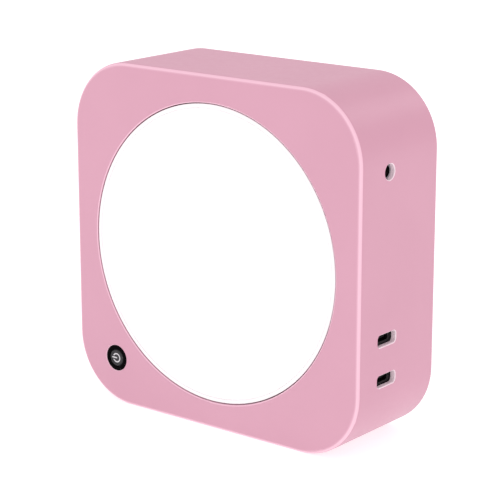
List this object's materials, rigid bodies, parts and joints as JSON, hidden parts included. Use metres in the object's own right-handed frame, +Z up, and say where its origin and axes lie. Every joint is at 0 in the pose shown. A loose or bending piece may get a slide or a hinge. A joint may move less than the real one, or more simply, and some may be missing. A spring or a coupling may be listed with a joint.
{
  "type": "nail dust collector",
  "caption": "Rounded square desk dust collector with a large round magnetic filter cartridge, a front power button, side USB-C and barrel sockets and an inner centrifugal fan.",
  "frame": {"origin": "middle of the bottom of the overall box, on the surface the case stands on", "axes": "+X right seen from the front, +Z up, the front face looks along -Y"},
  "size_m": [0.16, 0.058, 0.16],
  "materials": {
    "pink_plastic": "satin moulded ABS with a very fine texture",
    "white_plastic": "matte moulded",
    "filter_cloth": "non-woven cloth",
    "filter_paper": "pleated filter paper",
    "black_plastic": "fine matte",
    "black_rubber": "matte",
    "gloss_black": "high gloss",
    "gloss_grey": "high gloss",
    "icon_white": "gloss",
    "label_film": "blank satin film",
    "screw_steel": "zinc plated",
    "magnet_metal": "nickel plated",
    "ferrite": "dull",
    "core_steel": "stamped",
    "winding_copper": "enamelled wire",
    "contact_brass": "plain",
    "base_aluminium": "cast",
    "board_green": "solder mask"
  },
  "bodies": {
    "casing": {"back_cover": "pink_plastic", "bearing_front": "magnet_metal", "bearing_rear": "magnet_metal", "button_base": "black_plastic", "button_gasket": "black_rubber", "button_housing": "gloss_black", "button_nut": "black_plastic", "button_terminals": "contact_brass", "capacitors": "base_aluminium", "control_board": "board_green", "control_chips": "black_plastic", "control_screws": "screw_steel", "cover_screws": "screw_steel", "fan_housing": "black_plastic", "front_shell": "pink_plastic", "housing_screws": "screw_steel", "inlet_guard": "black_plastic", "jack_board": "board_green", "jack_body": "black_plastic", "jack_pin": "magnet_metal", "jack_screws": "screw_steel", "lead_sockets": "white_plastic", "motor_base": "base_aluminium", "motor_board": "board_green", "motor_lead": "black_rubber", "motor_screws": "screw_steel", "port_board": "board_green", "port_screws": "screw_steel", "power_choke": "ferrite", "power_lead": "black_rubber", "rating_label": "label_film", "rubber_feet": "black_rubber", "seat_gasket": "black_rubber", "seat_magnets": "magnet_metal", "stator_coils": "winding_copper", "stator_core": "core_steel", "switch_lead": "black_rubber", "usb_bodies": "black_plastic", "usb_lead": "black_rubber", "usb_shells": "core_steel", "usb_tongues": "black_plastic"},
    "rotor": {"impeller": "black_plastic", "impeller_shroud": "black_plastic", "rotor_can": "screw_steel", "rotor_magnet": "ferrite", "motor_shaft": "screw_steel", "shaft_clip": "screw_steel"},
    "button": {"button_cap": "gloss_grey", "button_icon": "icon_white", "contact_bridge": "contact_brass", "button_spring": "screw_steel"},
    "filter": {"filter_frame": "white_plastic", "filter_media": "filter_paper", "filter_face": "filter_cloth", "filter_magnets": "magnet_metal"}
  },
  "joints": [
    {"name": "fan_spin", "type": "hinge", "parent": "casing", "child": "rotor", "pos_m": [0, 0.001, 0.08], "axis": [0, -1, 0], "continuous": true},
    {"name": "button_press", "type": "slide", "parent": "casing", "child": "button", "axis": [0, 1, 0], "range_m": [0, 0.0015], "stiffness_N_per_m": 900, "deforming": ["button_spring"]},
    {"name": "filter_out", "type": "slide", "parent": "casing", "child": "filter", "axis": [0, -1, 0], "range_m": [0, 0.05]}
  ]
}
